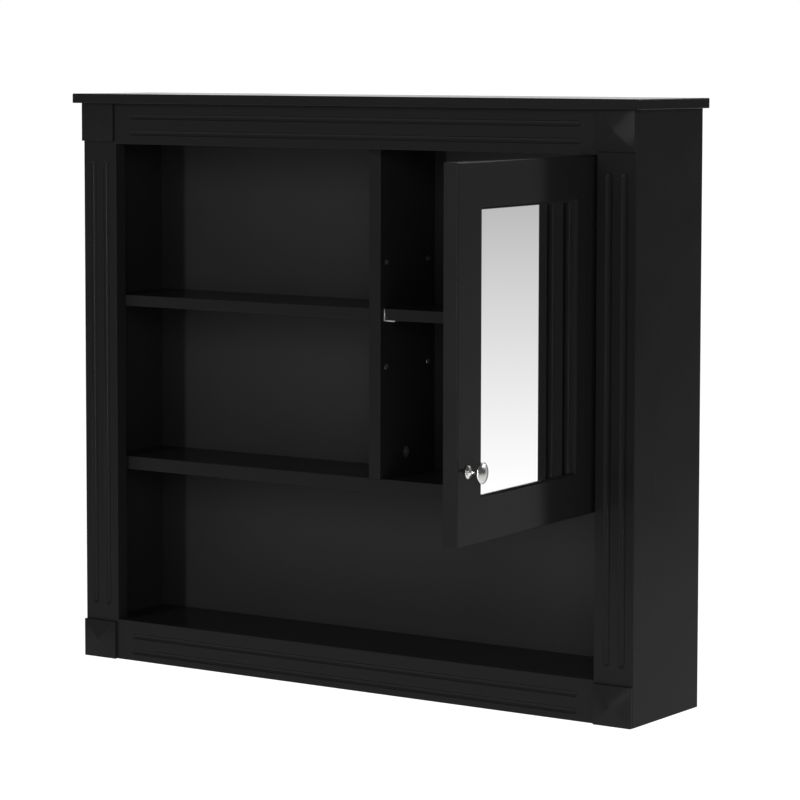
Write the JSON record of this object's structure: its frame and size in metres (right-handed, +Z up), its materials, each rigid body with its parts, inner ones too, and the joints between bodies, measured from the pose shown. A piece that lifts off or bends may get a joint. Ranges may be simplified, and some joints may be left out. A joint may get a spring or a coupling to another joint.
{
  "type": "wall medicine cabinet",
  "caption": "Black wall-hung bathroom cabinet: fluted face frame, open bays and shelves, and a mirror door on concealed hinges over a compartment with an adjustable shelf.",
  "frame": {"origin": "midway between the two wall screws, on the wall plane at the back of the hanging rail", "axes": "+X along the wall towards the door's hinge side, +Y into the wall, +Z up; the door opens towards -Y"},
  "size_m": [0.889, 0.4973, 0.775],
  "materials": {
    "black_lacquer": "satin black lacquer over MDF",
    "black_hardboard": "thin hardboard, painted matt black",
    "beech_dowel": "fluted beech, unfinished",
    "mirror_glass": "silvered float glass",
    "brushed_nickel": "satin nickel plate on turned metal",
    "nickel_plated_steel": "nickel-plated pressed and die-cast fittings",
    "bright_steel_pin": "ground steel pin",
    "soft_bumper": "soft clear bumper dot"
  },
  "bodies": {
    "cabinet": {"adjustable_shelf": "black_lacquer", "back_panel": "black_hardboard", "back_panel_nails": "nickel_plated_steel", "bottom_rail": "black_lacquer", "cam_bolts": "nickel_plated_steel", "cam_locks": "nickel_plated_steel", "corner_block_lower_left": "black_lacquer", "corner_block_lower_right": "black_lacquer", "corner_block_upper_left": "black_lacquer", "corner_block_upper_right": "black_lacquer", "divider": "black_lacquer", "floor_panel": "black_lacquer", "hanging_rail": "black_lacquer", "hinge_arm_screws": "nickel_plated_steel", "left_shelf": "black_lacquer", "left_side_panel": "black_lacquer", "left_stile": "black_lacquer", "long_shelf": "black_lacquer", "lower_hinge_arm": "nickel_plated_steel", "lower_hinge_block": "black_lacquer", "right_side_panel": "black_lacquer", "right_stile": "black_lacquer", "shelf_peg_sleeves": "nickel_plated_steel", "shelf_supports": "nickel_plated_steel", "top_board": "black_lacquer", "top_rail": "black_lacquer", "upper_hinge_arm": "nickel_plated_steel", "upper_hinge_block": "black_lacquer", "wood_dowels": "beech_dowel"},
    "door": {"door_bumpers": "soft_bumper", "door_frame": "black_lacquer", "glazing_beads": "black_lacquer", "hinge_cup_screws": "nickel_plated_steel", "knob": "brushed_nickel", "knob_screw": "nickel_plated_steel", "lower_hinge_cup": "nickel_plated_steel", "lower_hinge_pin": "bright_steel_pin", "mirror": "mirror_glass", "mirror_backing": "black_hardboard", "upper_hinge_cup": "nickel_plated_steel", "upper_hinge_pin": "bright_steel_pin"}
  },
  "joints": [
    {"name": "door_hinge", "type": "hinge", "parent": "cabinet", "child": "door", "pos_m": [0.3645, -0.1582, -0.247], "axis": [0, 0, 1], "range_deg": [-93.6, 6.4]}
  ]
}
